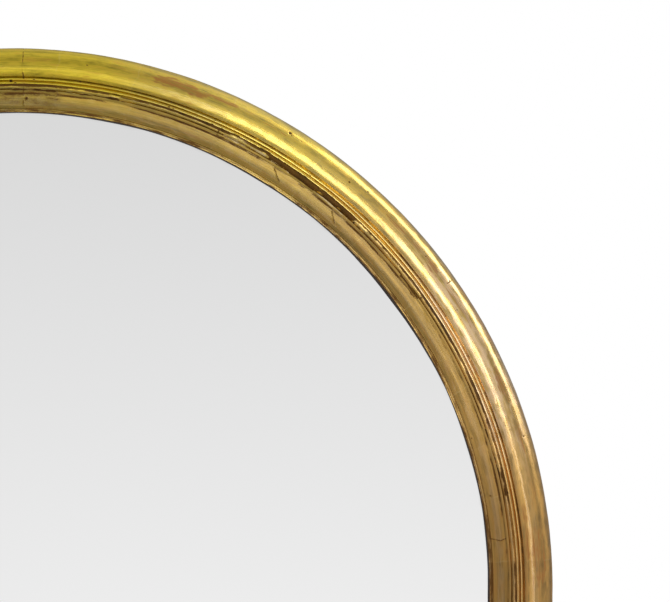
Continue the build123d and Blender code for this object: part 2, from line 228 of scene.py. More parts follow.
# How far the lip's ledge, black with painted shade, shows past the gilt edge: angle and width
ledges = [(-30, 0.8), (-12, 0.3), (0, 0.1), (11, 0.9), (19, 0.3), (31, 1.1), (39, 0.6), (45, 1.0),
          (52, 2.0), (58, 1.4), (65, 0.3), (72, 0.9), (80, 0.5), (85, 0.9), (91, 1.3), (105, 0.6)]
rubs = [(at_clock(angle), *rest) for angle, *rest in rubs]
pits = [(at_clock(angle), *rest) for angle, *rest in pits]
cracks = [[(at_clock(angle), distance) for angle, distance in line] for line in cracks]
losses = [(at_clock(start), at_clock(end), *rest) for start, end, *rest in losses]
flakes = [(at_clock(start), at_clock(end), *rest) for start, end, *rest in flakes]
laps = [at_clock(angle) for angle in laps]
ledge_places, ledge_widths = at_clock(np.array(ledges)[:, 0]), np.array(ledges)[:, 1]

# The rest of the frame has wear of the same kinds but for the flakes, a little further apart, where
# chance puts it. The pitches are millimetres from one mark to the next.
rub_pitch, pit_pitch, crack_pitch, loss_pitch, sheet_pitch = 48, 26, 120, 62, 74
chance = np.random.default_rng(23)
for start, end in ((arch_end + 20, stile_end + 2 * half_width), (-stile_end, at_clock(-6))):
    for _ in range(int((end - start) / rub_pitch)):
        rubs.append((chance.uniform(start, end), chance.normal(9.5, 2.2), chance.uniform(9, 30),
                     chance.uniform(1.4, 4.2), chance.uniform(0.3, 1.0)))
    for _ in range(int((end - start) / pit_pitch)):
        distance = chance.choice([7, 10.5, 25, 27.5, 28.8, 31.5, 40, 44])
        pits.append((chance.uniform(start, end), distance, chance.uniform(0.6, 1.2)))
    for _ in range(int((end - start) / crack_pitch)):
        foot = chance.uniform(start, end)
        cracks.append([(foot, 36.2), (foot + chance.uniform(1, 3), 39.0),
                       (foot + chance.uniform(2, 7), 43.0)])
    for _ in range(int((end - start) / loss_pitch)):
        foot = chance.uniform(start, end)
        losses.append((foot, foot + chance.uniform(12, 70), chance.choice([29.4, 30.2, 32.4]),
                       chance.choice([0.1, 0.2, 0.5, 1.1])))
    lap = start + 30
    while lap < end - 20:
        laps.append(lap)
        lap += chance.normal(sheet_pitch, 6)
laps = np.sort(laps)
sheet_tones = np.random.default_rng(5).uniform(-1, 1, len(laps) + 1)


def near_line(along, across, points, half_thickness, ragged):
    """1 within half_thickness of the line through points, and 0 half a millimetre past that. The
    distance to each stretch is taken to the nearest point on it, plus a ragged noise."""
    nearest = np.full(ragged.shape, np.inf)
    for (s0, d0), (s1, d1) in zip(points, points[1:]):
        run = (s1 - s0) ** 2 + (d1 - d0) ** 2
        part = np.clip(((along - s0) * (s1 - s0) + (across - d0) * (d1 - d0)) / run, 0, 1)
        nearest = np.minimum(nearest, np.hypot(along - s0 - part * (s1 - s0), across - d0 - part * (d1 - d0)))
    return 1 - step(nearest + ragged, half_thickness, half_thickness + 0.5)


def near_spot(along, across, place, half_length, half_breadth, ragged):
    """1 in the middle of an oval laid along the moulding and 0 outside it. Its radius is the distance
    in half lengths and half breadths, plus a ragged noise."""
    away = np.hypot((along - place[0]) / half_length, (across - place[1]) / half_breadth)
    return 1 - step(away + ragged, 0.6, 1.15)


def wear_marks(along, across, to_joint):
    """The masks of the wear at each place along the moulding and across its section, each the highest
    of its own marks. to_joint is the distance from an open joint."""
    fine = 0.30 * drift(along / 1.7, across / 1.3, 3) + 0.16 * drift(along / 0.7, across / 0.6, 4)
    coarse = 0.34 * drift(along / 9, across / 1.9, 5) + 0.24 * drift(along / 3.1, across / 0.9, 6)
    low, high = along.min() - 40, along.max() + 40
    marks = {name: [np.zeros(fine.shape)] for name in ("clay", "pit", "crack", "loss", "gesso")}
    for s, distance, half_length, half_breadth, strength in rubs:
        if low < s < high:
            spot = near_spot(along, across, (s, distance), half_length, half_breadth, 1.3 * coarse)
            marks["clay"].append(strength * spot)
    for s, distance, radius in pits:
        if low < s < high:
            marks["pit"].append(near_spot(along, across, (s, distance), radius, 0.8 * radius, fine))
    for line in cracks:
        if low < line[0][0] < high:
            marks["crack"].append(near_line(along, across, line, 0.25, 0.6 * fine))
    for name, runs in (("loss", losses), ("gesso", flakes)):
        for start, end, distance, half_breadth in runs:
            if end > low and start < high:
                line = [(start, distance), (end, distance + 0.3)]
                marks[name].append(near_line(along, across, line, half_breadth, 2.2 * coarse))
    open_joint = 1 - step(to_joint + 0.6 * fine + 0.5 * drift(along, across / 2.6, 31), 0.2, 0.8)
    marks["crack"].append(open_joint * step(drift(across / 3.4, 0.5, 32), -0.6, 0.0))
    return {name: np.max(masks, axis=0) for name, masks in marks.items()}


def leaf_sheets(along, girth):
    """Which sheet of leaf lies at each place, as its tone, and a mask of the thin overlaps between
    sheets. An overlap follows a lap's place, slanted and wavered by noise across the section."""
    slanted = along + 2.2 * drift(girth / 17, along / 300, 8) + 0.5 * drift(girth / 2.3, along / 90, 9)
    sheet = np.searchsorted(laps, slanted)
    to_lap = np.min([np.abs(slanted - laps[np.clip(sheet - i, 0, len(laps) - 1)]) for i in (0, 1)], axis=0)
    overlap = (1 - step(to_lap, 0.2, 0.8)) * step(drift(girth / 4.1, sheet * 5.3, 2), -0.35, 0.3)
    return sheet_tones[sheet], overlap


def gilders_relief(along, girth, marks, overlap):
    """How far the surface lies off the full section, never outside it: long brush strokes along the
    moulding, small scrapes across it, the wear's own depths and the leaf's overlaps."""
    stand = 0.15 * drift(along / 95, girth / 11) + 0.10 * drift(along / 24, girth / 6, 2)
    stand = stand + 0.06 * drift(along / 26, girth / 2.3, 11) + 0.075 * drift(along / 7, girth / 2.8, 12)
    stand = stand - 0.30 * marks["pit"] - 0.12 * marks["crack"] - 0.35 * marks["loss"] + 0.08 * marks["gesso"]
    return np.minimum(stand - 0.26 - 0.03 * marks["clay"] + 0.02 * overlap, 0)


def planed_waver(along, across, girth):
    """How far the section's members stray inwards, growing from nothing at the outer edge."""
    stray = 0.40 * drift(along / 140, 0.5, 13) + 0.18 * drift(along / 38, girth / 8, 14)
    return stray * across / moulding_width


# The gold's colours and wear. Leaf is laid in 80 mm sheets on red clay over gesso: burnished on the
# roll and beads, left matt in the cove. It leans to lemon near the crown and to orange on the sides.
# Dirt has settled in the quirks, in the hollow and on the lip, and painted shade darkens them too.
# Painted shade also darkens the inner cove, the outer side and the leaf near the crown and low on the
# sides, and a painted highlight pales the roll and beads between.
class Shade:
    """A socket of a material's nodes. Sums, products and the like of shades and numbers add Math nodes;
    node() adds any other node, from its type, settings, sockets and the output that is used."""

    def __init__(self, tree, socket=None):
        self.tree, self.socket = tree, socket

    def node(self, kind, settings=(), sockets=(), output=0):
        made = self.tree.nodes.new(kind)
        for name, value in dict(settings).items():
            setattr(made, name, value)
        for name, value in dict(sockets).items():
            socket = named_socket(made.inputs, name)
            if isinstance(value, Shade):
                self.tree.links.new(value.socket, socket)
            elif socket.type == "RGBA":
                socket.default_value = (*value, 1)
            else:
                socket.default_value = value
        return Shade(self.tree, named_socket(made.outputs, output) if made.outputs else None)

    def math(self, operation, *values):
        return self.node("ShaderNodeMath", {"operation": operation}, dict(enumerate(values)))

    def __add__(self, other):
        return self.math("ADD", self, other)

    def __sub__(self, other):
        return self.math("SUBTRACT", self, other)

    def __rsub__(self, other):
        return self.math("SUBTRACT", other, self)

    def __mul__(self, other):
        return self.math("MULTIPLY", self, other)

    __radd__, __rmul__ = __add__, __mul__


def named_socket(sockets, name):
    """The socket at a number, or with a name or an identifier."""
    if isinstance(name, int):
        return sockets[name]
    return next(socket for socket in sockets if name in (socket.identifier, socket.name))


def smooth(value, low, high, start=0.0, end=1.0):
    """A smooth step from start to end as value goes from low to high."""
    span = {"Value": value, "From Min": low, "From Max": high, "To Min": start, "To Max": end}
    return value.node("ShaderNodeMapRange", {"interpolation_type": "SMOOTHSTEP"}, span)


def higher(first, *others):
    """The highest of these masks at each place."""
    for other in others:
        first = first.math("MAXIMUM", first, other)
    return first


def painted(mask, under, over):
    """The colour over where mask is 1, and under where it is 0."""
    sockets = {"Factor_Float": mask, "A_Color": under, "B_Color": over}
    return mask.node("ShaderNodeMix", {"data_type": "RGBA"}, sockets, "Result_Color")


def lit(colour, level):
    """A colour times a level."""
    return level.node("ShaderNodeVectorMath", {"operation": "SCALE"}, {0: colour, "Scale": level})


def cloud(place, scale, turn=0.0, detail=3.0, seed=0.0, bend=0.0):
    """Noise from 0 to 1 at a place turned about Y and scaled along each axis."""
    shift = (seed, 1.7 * seed, 0.6 * seed)
    mapping = {"Vector": place, "Location": shift, "Rotation": (0, turn, 0), "Scale": scale}
    put = place.node("ShaderNodeMapping", (), mapping)
    noise = {"Vector": put, "Scale": 1, "Detail": detail, "Distortion": bend}
    return place.node("ShaderNodeTexNoise", (), noise, "Fac")


def raised(height, distance):
    """The normal of a bumpy surface: height from 0 to 1 times distance in metres."""
    bump = {"Height": height, "Distance": distance, "Strength": 1.0}
    return height.node("ShaderNodeBump", (), bump, "Normal")


def start_material(name):
    """A new material with no nodes, and a bare shade that makes its first ones."""
    material = bpy.data.materials.new(name)
    material.use_nodes = True
    material.node_tree.nodes.clear()
    return material, Shade(material.node_tree)


def close_material(material, start, sockets):
    """Gives the material its shader, with these values and links on its sockets."""
    surface = start.node("ShaderNodeBsdfPrincipled", (), sockets)
    start.node("ShaderNodeOutputMaterial", (), {"Surface": surface})
    return material


def moulding_fields(start, names):
    """The numbers kept at the moulding's vertices under these names."""
    return [start.node("ShaderNodeAttribute", {"attribute_name": name}, output="Fac") for name in names]


lemon_gold, orange_gold = (0.84, 0.64, 0.045), (0.80, 0.455, 0.11)
rubbed_highlight_gold, clay_red, gesso_buff = (0.86, 0.60, 0.31), (0.36, 0.135, 0.022), (0.80, 0.62, 0.30)
quirk_brown, deep_dirt_and_shade, double_leaf = (0.16, 0.066, 0.012), (0.060, 0.024, 0.008), (0.92, 0.80, 0.42)


def gold_leaf():
    """Metal that gives way to clay, gesso, and dirt with painted shade, each where its mask plus noise
    passes a threshold.
    The streaks are noise stretched along the moulding, and the leaf's tone changes from sheet to sheet."""
    material, start = start_material("gold_leaf")
    strip = start.node("ShaderNodeUVMap", {"uv_map": "moulding"})
    names = ("clay", "grime_and_shade", "gesso", "overlap", "leaf_tone", "matte", "lemon", "shade_and_toning", "dim_and_dull", "rubbed_and_highlit")
    clay, grime_and_shade, gesso, overlap, leaf_tone, matte, lemon, shade_and_toning, dim_and_dull, rubbed_and_highlit = moulding_fields(start, names)
    streak = cloud(strip, (26, 1100, 1))
    band = cloud(strip, (11, 380, 1), seed=7.7, detail=2)
    hair = cloud(strip, (70, 3600, 1), seed=3.1, detail=2)
    mottle = cloud(strip, (110, 300, 1), seed=5.7, detail=3)
    speckle = cloud(strip, (1300, 1700, 1), seed=9.3, detail=2)
    clay_edge = 0.85 * clay + 1.5 * (mottle - 0.5) + 2.6 * (streak - 0.5) + 0.8 * (hair - 0.5)
    clay_edge = smooth(clay_edge, 0.12, 1.05)
    worn = smooth(0.4 * streak + 0.35 * mottle + 0.25 * band + 0.05 * shade_and_toning, 0.50, 0.64) * 0.40
    clay_shown = higher(clay_edge * 0.84, worn) * (1 - 0.4 * matte)
    # Dirt, and painted shade in the quirks, on the outer side and black on the lip
    dirt_and_shade = smooth(grime_and_shade + 0.9 * (mottle - 0.5) + 0.5 * (speckle - 0.5), 0.30, 0.80)
    flake = smooth(gesso + 0.6 * (mottle - 0.5), 0.35, 0.7) * 0.75
    # The level carries painted shade: over the inner cove, partly over the matt leaf of the hollow and cove,
    # and near the crown and low on the sides
    level = 0.95 + 0.05 * leaf_tone + 0.85 * (streak - 0.5) + 0.30 * (hair - 0.5) + 1.10 * (mottle - 0.5)
    level = (level + 0.95 * (band - 0.5)) * (1 - 0.42 * shade_and_toning) * (1 - 0.40 * matte) * (1 - 0.28 * dim_and_dull)
    # Paler gold where the leaf is rubbed, partly a painted highlight
    thinned_and_highlit = rubbed_and_highlit * smooth(0.5 * band + 0.5 * mottle, 0.38, 0.58)
    gold = painted(thinned_and_highlit, painted(lemon, orange_gold, lemon_gold), rubbed_highlight_gold)
    gold = painted(clay_shown, lit(gold, level), clay_red)
    gold = painted(overlap * 0.08, gold, double_leaf)
    # The darkest soil is the dirt of pits and losses and the painted shade of the hollow and the lip
    soil_and_shade = painted(smooth(grime_and_shade + 0.5 * (mottle - 0.5), 0.90, 1.08), quirk_brown, deep_dirt_and_shade)
    gold = painted(dirt_and_shade * 0.92, painted(flake, gold, gesso_buff), soil_and_shade)
    metal = (1 - 0.4 * clay_shown) * (1 - 0.3 * dirt_and_shade) * (1 - 0.6 * flake)
    rough = 0.26 + 0.18 * dim_and_dull + 0.18 * matte + 0.40 * (mottle - 0.5)
    rough = rough + 0.12 * clay_shown + 0.35 * dirt_and_shade + 0.2 * flake
    coat = (1 - 0.75 * matte) * (1 - 0.6 * clay_shown) * (1 - dirt_and_shade) * (1 - 0.5 * dim_and_dull)
    coat = coat * (1 - 0.8 * smooth(lemon, 0.7, 1.0))
    relief = 0.45 * streak + 0.02 * hair + 0.60 * mottle
    return close_material(material, start, {
        "Base Color": gold, "Metallic": metal, "Roughness": rough, "Normal": raised(relief, 0.00022),
        "Coat Weight": coat, "Coat Roughness": 0.20, "Coat IOR": 1.8})


def ochre_wash():
    """Yellow clay brushed along the frame's side, thin on its ridges; the lip is black with dirt and painted
    shade.
    """
    material, start = start_material("ochre_wash")
    strip = start.node("ShaderNodeUVMap", {"uv_map": "moulding"})
    grime_and_shade, = moulding_fields(start, ["grime_and_shade"])
    brush = cloud(strip, (22, 700, 1), detail=4)
    blotch = cloud(strip, (60, 90, 1), seed=2.2, detail=5)
    thin_wash, thick_wash = (0.30, 0.155, 0.045), (0.46, 0.27, 0.085)
    stain, lip_black = (0.17, 0.085, 0.03), (0.030, 0.016, 0.008)
    wash = painted(smooth(brush, 0.35, 0.65), thin_wash, thick_wash)
    wash = painted(smooth(blotch, 0.55, 0.75) * 0.6, wash, stain)
    # The lip goes black: painted shade, with its dirt
    wash = painted(smooth(grime_and_shade + 0.5 * (blotch - 0.5), 0.3, 0.8), wash, lip_black)
    return close_material(material, start, {
        "Base Color": wash, "Roughness": 0.66 + 0.3 * (brush - 0.5),
        "Normal": raised(brush + 0.5 * blotch, 0.0002)})


def wood(name, turn, pale, dark, ring_pitch=0.006, age=0.5, polish=0.55):
    """Wood with its grain along X turned about Y. The rings are the sine of the distance across the
    grain, bent by noise stretched along it; pores are finer noise, and old stain darkens in blotches."""
    material, start = start_material(name)
    place = start.node("ShaderNodeTexCoord", output="Object")
    bend = cloud(place, (1.6, 11, 11), turn, detail=2)
    turned = place.node("ShaderNodeMapping", (), {"Vector": place, "Rotation": (0, turn, 0)})
    across = turned.node("ShaderNodeSeparateXYZ", (), {0: turned}, "Z") + 0.035 * bend
    ring = across.math("SINE", across * (2 * math.pi / ring_pitch)) * 0.5 + 0.5
    pores = cloud(place, (40, 1400, 1400), turn, detail=2, seed=4.4)
    blotch = cloud(place, (14, 30, 30), turn, detail=5, seed=8.8)
    colour = painted(smooth(ring, 0.25, 1.0) * 0.75, pale, dark)
    colour = painted(smooth(pores, 0.52, 0.72) * 0.6, colour, dark)
    colour = lit(colour, 1 - age * smooth(blotch, 0.42, 0.72) + 0.12 * (pores - 0.5))
    relief = 0.35 * ring + pores
    return close_material(material, start, {
        "Base Color": colour, "Roughness": polish + 0.25 * (pores - 0.5) + 0.1 * blotch,
        "Normal": raised(relief, 0.00025)})


# Frame members: four sawn segments for the round head, two straight stiles and a rail mitred to them.
# The front is gilded, the side below the gold is brushed with yellow clay, and the back and the
# rebates are bare softwood gone brown, with its grain along each member.

# Where dirt and painted shade lie across the section: middle, half breadth and strength
dark_strips = [(roll_width, 0.5, 0.5), (second_bead, 0.35, 0.45), (groove_start + 0.5, 1.3, 0.95),
               (fillet_start, 0.5, 0.35), (cove_start + 0.5, 1.1, 0.80), (sight_start + 0.5, 0.5, 0.6),
               (sight_start + 1.9, 2.0, 0.66), (moulding_width, 0.75, 1.1)]


def finish_fields(along, marks):
    """The numbers that the gold reads at each vertex. Dirt and painted shade are the highest of the quirks',
    the lip's, the outer side's, the crown joint's and the marks' own; matt leaf lies from the hollow inwards;
    lemon fades with the angle from the crown. Painted shade darkens the inner cove, and darkens and dulls the
    leaf near the crown and from low on the arch on; between them the roll and beads are rubbed paler, partly
    a painted highlight."""
    across = np.broadcast_to(inwards, marks["clay"].shape)
    # Dirt and painted shade in the quirks, the hollow, on the sight bead and on the lip
    recess = np.max([strength * (1 - step(np.abs(across - middle), 0.35 * half, 1.25 * half))
                     for middle, half, strength in dark_strips], axis=0)
    patchy = 0.78 + 0.5 * drift(along / 38, across / 2.3, 21) + 0.3 * drift(along / 7, across, 22)
    recess = recess * np.clip(patchy, 0, 1.2)
    # The lip wall is black throughout: painted shade in the rebate
    recess = np.where(inwards > moulding_width - 0.1, 1.0, recess)
    # Painted shade on the gilt of the outer side, below the roll
    outer_side_shade = 0.4 * (1 - step(across, 0.2, 1.3)) * step(height, 15, 22)
    near_crown = 1 - step(np.abs(along), at_clock(5.0), at_clock(6.6))
    crown_dirt = near_crown * step(across, groove_start, cove_start)
    grime_and_shade = np.max([recess, outer_side_shade, 0.42 * crown_dirt, 0.94 * marks["loss"], 1.05 * marks["pit"],
                    0.70 * marks["crack"]], axis=0)
    matte = step(across, groove_start, cove_start + 1.0)
    matte = matte * (1 - 0.4 * step(across, sight_start - 0.5, sight_start + 0.8))
    away = np.abs(along) + 12 * drift(along / 30, across / 6, 24)
    lemon = 1 - 0.22 * step(away, at_clock(8), at_clock(18)) - 0.38 * step(away, at_clock(33), at_clock(46))
    lemon = lemon - 0.40 * step(away, at_clock(50), at_clock(86))
    # Painted shade over the inner cove, with the crown joint's dirt
    shade_and_toning = step(across, cove_start + 4, cove_start + 8)
    shade_and_toning = shade_and_toning * (1 - step(across, sight_start - 0.8, sight_start + 0.6))
    shade_and_toning = shade_and_toning * (1 - step(away, at_clock(60), at_clock(74)))
    shade_and_toning = np.maximum(shade_and_toning, 0.35 * crown_dirt)
    # Painted shade and duller leaf near the crown and low on the sides
    crown_dim_and_dull = 0.85 * (1 - step(away, at_clock(17), at_clock(31))) * (1 - 0.8 * matte)
    dim_and_dull = 0.1 + 0.9 * step(away, at_clock(68), at_clock(86)) + crown_dim_and_dull
    # Rubbed leaf between 44 and 80 degrees on the roll and beads, partly a painted highlight
    rubbed_and_highlit = step(away, at_clock(44), at_clock(56)) * (1 - step(away, at_clock(70), at_clock(80)))
    rubbed_and_highlit = rubbed_and_highlit * (1 - step(across, groove_start, groove_start + 2))
    lemon = lemon * (1 - 0.45 * step(across, groove_start, fillet_start))
    return {"clay": marks["clay"], "grime_and_shade": grime_and_shade, "gesso": marks["gesso"], "matte": matte, "shade_and_toning": shade_and_toning,
            "dim_and_dull": dim_and_dull, "rubbed_and_highlit": rubbed_and_highlit, "lemon": lemon}


def member(node, along, joint, place, materials):
    """A closed skin: the section, moved along its normals by the gilder's relief, is set at each place
    along the member, and neighbouring sections are joined by quads. The ends are closed by faces."""
    girth = developed[:-1]
    gilt = np.where(strip_finish == BARE, 0.0, 1.0)
    gilt = gilt * np.where(inwards < 1, step(height, 0, gilt_side_foot), step(height, lip_back, lip_back + 2))
    marks = {name: mask * gilt for name, mask in wear_marks(along, inwards, joint).items()}
    leaf_tone, overlap = leaf_sheets(along, girth)
    relief = gilders_relief(along, girth, marks, overlap) * gilt
    # The lip wall's foot stands inwards by the ledge, so its black painted shade shows past the gilt edge
    ledge = np.interp(along, ledge_places, ledge_widths) * (strip_finish == WASHED) * step(inwards, 40, 50)
    ledge = ledge * (1 - step(height, lip_back, sight_foot))
    waver = planed_waver(along, inwards, girth) * gilt + ledge
    points = place(inwards + section_normal[:, 0] * relief + waver, height + section_normal[:, 1] * relief)
    columns, rows = relief.shape
    index = np.arange(columns * rows).reshape(columns, rows)
    ahead = np.roll(index, -1, 1)
    quads = np.stack([index[:-1], ahead[:-1], ahead[1:], index[1:]], -1).reshape(-1, 4)
    mesh = bpy.data.meshes.new(node + "_gilt")
    faces = [*quads.tolist(), index[0][::-1].tolist(), index[-1].tolist()]
    mesh.from_pydata((points * MM).reshape(-1, 3), [], faces)
    path = np.broadcast_to(along, (columns, rows))
    next_path = np.roll(path, -1, 1)
    here, there = (np.broadcast_to(line, (columns - 1, rows)) for line in (developed[:-1], developed[1:]))
    corners = [path[:-1], here, next_path[:-1], there, next_path[1:], there, path[1:], here]
    strip = np.concatenate([np.stack(corners, -1).reshape(-1, 2), section[::-1], section]) * MM
    mesh.uv_layers.new(name="moulding").uv.foreach_set("vector", strip.astype(np.float32).ravel())
    fields = finish_fields(along, marks) | {"overlap": overlap, "leaf_tone": leaf_tone}
    for name, values in fields.items():
        values = np.broadcast_to(values, (columns, rows)).astype(np.float32)
        mesh.attributes.new(name, "FLOAT", "POINT").data.foreach_set("value", values.ravel())
    for material in materials:
        mesh.materials.append(material)
    slots = np.concatenate([np.tile(strip_finish, columns - 1), [BARE, BARE]]).astype(np.int32)
    mesh.polygons.foreach_set("material_index", slots)
    mesh.polygons.foreach_set("use_smooth", np.ones(len(slots), bool))
    mesh.set_sharp_from_angle(angle=sharp_angle)
    piece = bpy.data.objects.new(node + "_gilt", mesh)
    bpy.context.collection.objects.link(piece)
    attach(piece, "mirror")
    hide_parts(node)


def round_the_arch(along):
    """Sets a section at its angle from the crown, at the arch's radius less its distance in."""
    def place(u, v):
        turn, radius = along / mid_radius, half_width - u
        return np.stack([radius * np.sin(turn), back_y - v, spring_height + radius * np.cos(turn)], -1)
    return place


gold, ochre = gold_leaf(), ochre_wash()
softwood = {"pale": (0.40, 0.26, 0.14), "dark": (0.20, 0.11, 0.05), "age": 0.45}
sharp_angle = math.radians(50)
# Millimetres from one section to the next, finer on the photographed quarter, and the straights' counts
fine_pitch, plain_pitch = 0.52, 0.85
stile_sections, rail_sections = 580, 630
arch_members = [("arch_left_lower", -90, -45, plain_pitch), ("arch_left_upper", -45, 1.2, plain_pitch),
                ("arch_right_upper", 1.2, 45, fine_pitch), ("arch_right_lower", 45, 90, fine_pitch)]
for node, start_angle, end_angle, pitch in arch_members:
    start, end = at_clock(start_angle), at_clock(end_angle)
    along = np.linspace(start, end, int((end - start) / pitch))[:, None]
    grain = wood("softwood_" + node, math.radians((start_angle + end_angle) / 2), **softwood)
    to_joint = np.abs(along - crown_joint) + 0 * inwards
    member(node, along, to_joint, round_the_arch(along), [gold, ochre, grain])

upright = wood("softwood_upright", math.radians(90), **softwood)
for node, side in (("stile_right", 1), ("stile_left", -1)):
    down = np.linspace(0, 1, stile_sections)[:, None] * (spring_height - inwards)
    if side < 0:
        down = down[::-1]

    def place(u, v, side=side, down=down):
        drop = down * (spring_height - u) / (spring_height - inwards)
        return np.stack([side * (half_width - u), back_y - v, spring_height - drop], -1)

    to_mitre = (spring_height - down - inwards) / math.sqrt(2)
    member(node, side * (arch_end + down), to_mitre, place, [gold, ochre, upright])

half_run = np.linspace(1, -1, rail_sections)[:, None] * (half_width - inwards)
to_corner = (half_width - inwards - np.abs(half_run)) / math.sqrt(2)


def along_the_rail(u, v):
    """Sets a section at its share of the way from one mitre to the other."""
    run = half_run * (half_width - u) / (half_width - inwards)
    return np.stack([run, back_y - v, u + 0 * half_run], -1)


level_grain = wood("softwood_level", 0.0, **softwood)
member("bottom_rail", stile_end + half_width - half_run, to_corner, along_the_rail,
       [gold, ochre, level_grain])

# Loose tongues of beech, glued across the seven joints, and the wooden wedges glued round the rebate
# that hold the plate. Both were cut on the bench and are out of sight once the back is closed.
beech_pale, beech_dark = (0.62, 0.43, 0.27), (0.45, 0.28, 0.16)
block_pale, block_dark = (0.30, 0.19, 0.10), (0.16, 0.09, 0.045)
beech = wood("planed_beech", math.radians(90), beech_pale, beech_dark, ring_pitch=0.003, age=0.15)
tongues = ["crown_tongue", "haunch_tongue_left", "haunch_tongue_right", "spring_tongue_left",
           "spring_tongue_right", "corner_tongue_left", "corner_tongue_right"]


def dress(nodes, material):
    """Gives carried-over solids their finish."""
    for node in nodes:
        mesh = frame["nodes"][node].data
        mesh.materials.clear()
        mesh.materials.append(material)


dress(tongues, beech)
dress(["glazing_blocks"], wood("stained_block", 0.0, block_pale, block_dark, age=0.4, polish=0.7))

# Mirror plate: one sheet of float glass, silvered behind and sealed with grey paint. It lies on the
# back of the lip, so only its face shows, with its silver a little clouded close to the edge.
plate_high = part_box("mirror_plate")[1]
arch_centre = spring_height * MM


def silvered_glass():
    """Silver in front, paint from just before the back face. The cloudiness grows towards the edge,
    whose distance is the plate's half width less the distance from the middle line, or past the
    spring from the arch's centre."""
    material, start = start_material("silvered_glass")
    place = start.node("ShaderNodeTexCoord", output="Object")
    x, y, z = (start.node("ShaderNodeSeparateXYZ", (), {0: place}, axis) for axis in "XYZ")
    rise = z.math("MAXIMUM", z - arch_centre, 0)
    to_edge = plate_high.x - z.math("SQRT", x * x + rise * rise)
    cloudy = smooth(to_edge + 0.006 * cloud(place, (60, 60, 60), detail=5), 0.004, 0.012, 1.0, 0.0)
    film = cloud(place, (5, 5, 5), detail=4, seed=2.0)
    behind = smooth(y, plate_high.y - 0.0006, plate_high.y - 0.0002)
    silver = painted(cloudy * 0.5, (0.985, 0.985, 0.985), (0.45, 0.42, 0.36))
    return close_material(material, start, {
        "Base Color": painted(behind, silver, (0.16, 0.17, 0.18)), "Metallic": 1 - behind,
        "Roughness": 0.012 + 0.01 * film + 0.2 * cloudy + 0.55 * behind})


dress(["mirror_plate"], silvered_glass())

# Back boards: four planed pine boards, lapped on each other and screwed into the rebate. They have
# darkened where air and soot reached them and keep their knots.
board_seeds = {"back_board_bottom": 0.3, "back_board_lower": 1.9, "back_board_upper": 4.6,
               "back_board_top": 7.2}


def pine(name, seed, low, high):
    """Wide grain along X: rings bent round knots, which are small dark discs scattered over the board.
    Each board has its own ring width and tone, and soot lies in the seams at its two long edges."""
    material, start = start_material(name)
    place = start.node("ShaderNodeTexCoord", output="Object")
    ring_pitch, tone = 0.009 + 0.0028 * (seed % 1.6), 0.84 + 0.17 * (seed % 1.3)
    height = start.node("ShaderNodeSeparateXYZ", (), {0: place}, "Z")
    to_seam = height.math("MINIMUM", height - low, high - height)
    to_seam = to_seam + 0.004 * cloud(place, (30, 30, 60), detail=3)
    bend = cloud(place, (1.3, 7, 7), detail=2, seed=seed)
    scattered = {"Vector": place, "Location": (seed, 0, seed), "Scale": (4.5, 0.1, 11)}
    spots = start.node("ShaderNodeMapping", (), scattered)
    knot = start.node("ShaderNodeTexVoronoi", (), {"Vector": spots, "Scale": 1}, "Distance")
    across = height + 0.09 * bend + 0.012 * smooth(knot, 0.0, 0.35)
    ring = across.math("SINE", across * (2 * math.pi / ring_pitch)) * 0.5 + 0.5
    pores = cloud(place, (30, 1100, 1100), detail=2, seed=seed + 1)
    soot = cloud(place, (4, 9, 9), detail=6, seed=seed + 2)
    colour = painted(smooth(ring, 0.3, 1.0) * 0.7, (0.56, 0.38, 0.20), (0.36, 0.20, 0.085))
    colour = painted(smooth(knot, 0.05, 0.075, 1.0, 0.0), colour, (0.14, 0.065, 0.03))
    darkened = (1 - 0.24 * smooth(soot, 0.35, 0.8)) * smooth(to_seam, 0.0015, 0.009, 0.45, 1.0)
    colour = lit(colour, tone * darkened + 0.25 * (pores - 0.5))
    return close_material(material, start, {
        "Base Color": colour, "Roughness": 0.62 + 0.2 * (pores - 0.5),
        "Normal": raised(0.4 * ring + pores, 0.0003)})


for node, seed in board_seeds.items():
    board_low, board_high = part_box(node)
    dress([node], pine("pine_" + node, seed, board_low.z, board_high.z))

# Steel: round-head screws in the boards and saddles, pressed saddles, and rings of drawn wire that
# turn in them. All have dulled, with rust in the low places.


def steel(name, bare, rust, coverage):
    """Metal that gives way to rust where noise passes a threshold set by coverage."""
    material, start = start_material(name)
    place = start.node("ShaderNodeTexCoord", output="Object")
    bloom = cloud(place, (300, 300, 300), detail=5)
    scuff = cloud(place, (2500, 2500, 2500), detail=2, seed=3.0)
    rusted = smooth(bloom + 0.15 * (scuff - 0.5), 0.66 - 0.3 * coverage, 0.76 - 0.2 * coverage)
    colour = lit(painted(rusted, bare, rust), 0.9 + 0.3 * (scuff - 0.5))
    rough = 0.36 + 0.4 * rusted + 0.2 * (scuff - 0.5)
    return close_material(material, start, {
        "Base Color": colour, "Metallic": 1 - 0.85 * rusted, "Roughness": rough,
        "Normal": raised(bloom + scuff, 0.00008)})


screw_grey, saddle_grey, ring_grey = (0.34, 0.32, 0.29), (0.50, 0.48, 0.44), (0.60, 0.58, 0.54)
screw_rust, saddle_rust, ring_rust = (0.16, 0.075, 0.035), (0.20, 0.10, 0.05), (0.24, 0.12, 0.06)
dress(["backboard_screws", "saddle_screws"], steel("screw_steel", screw_grey, screw_rust, 0.45))
dress(["hanger_saddle_left", "hanger_saddle_right"], steel("saddle_steel", saddle_grey, saddle_rust, 0.3))
dress(["hanging_ring_left", "hanging_ring_right"], steel("ring_steel", ring_grey, ring_rust, 0.15))

# Wall pads: discs of pressed felt, glued near the foot of each stile, that keep the frame level with
# its hanging rings and off the wallpaper.


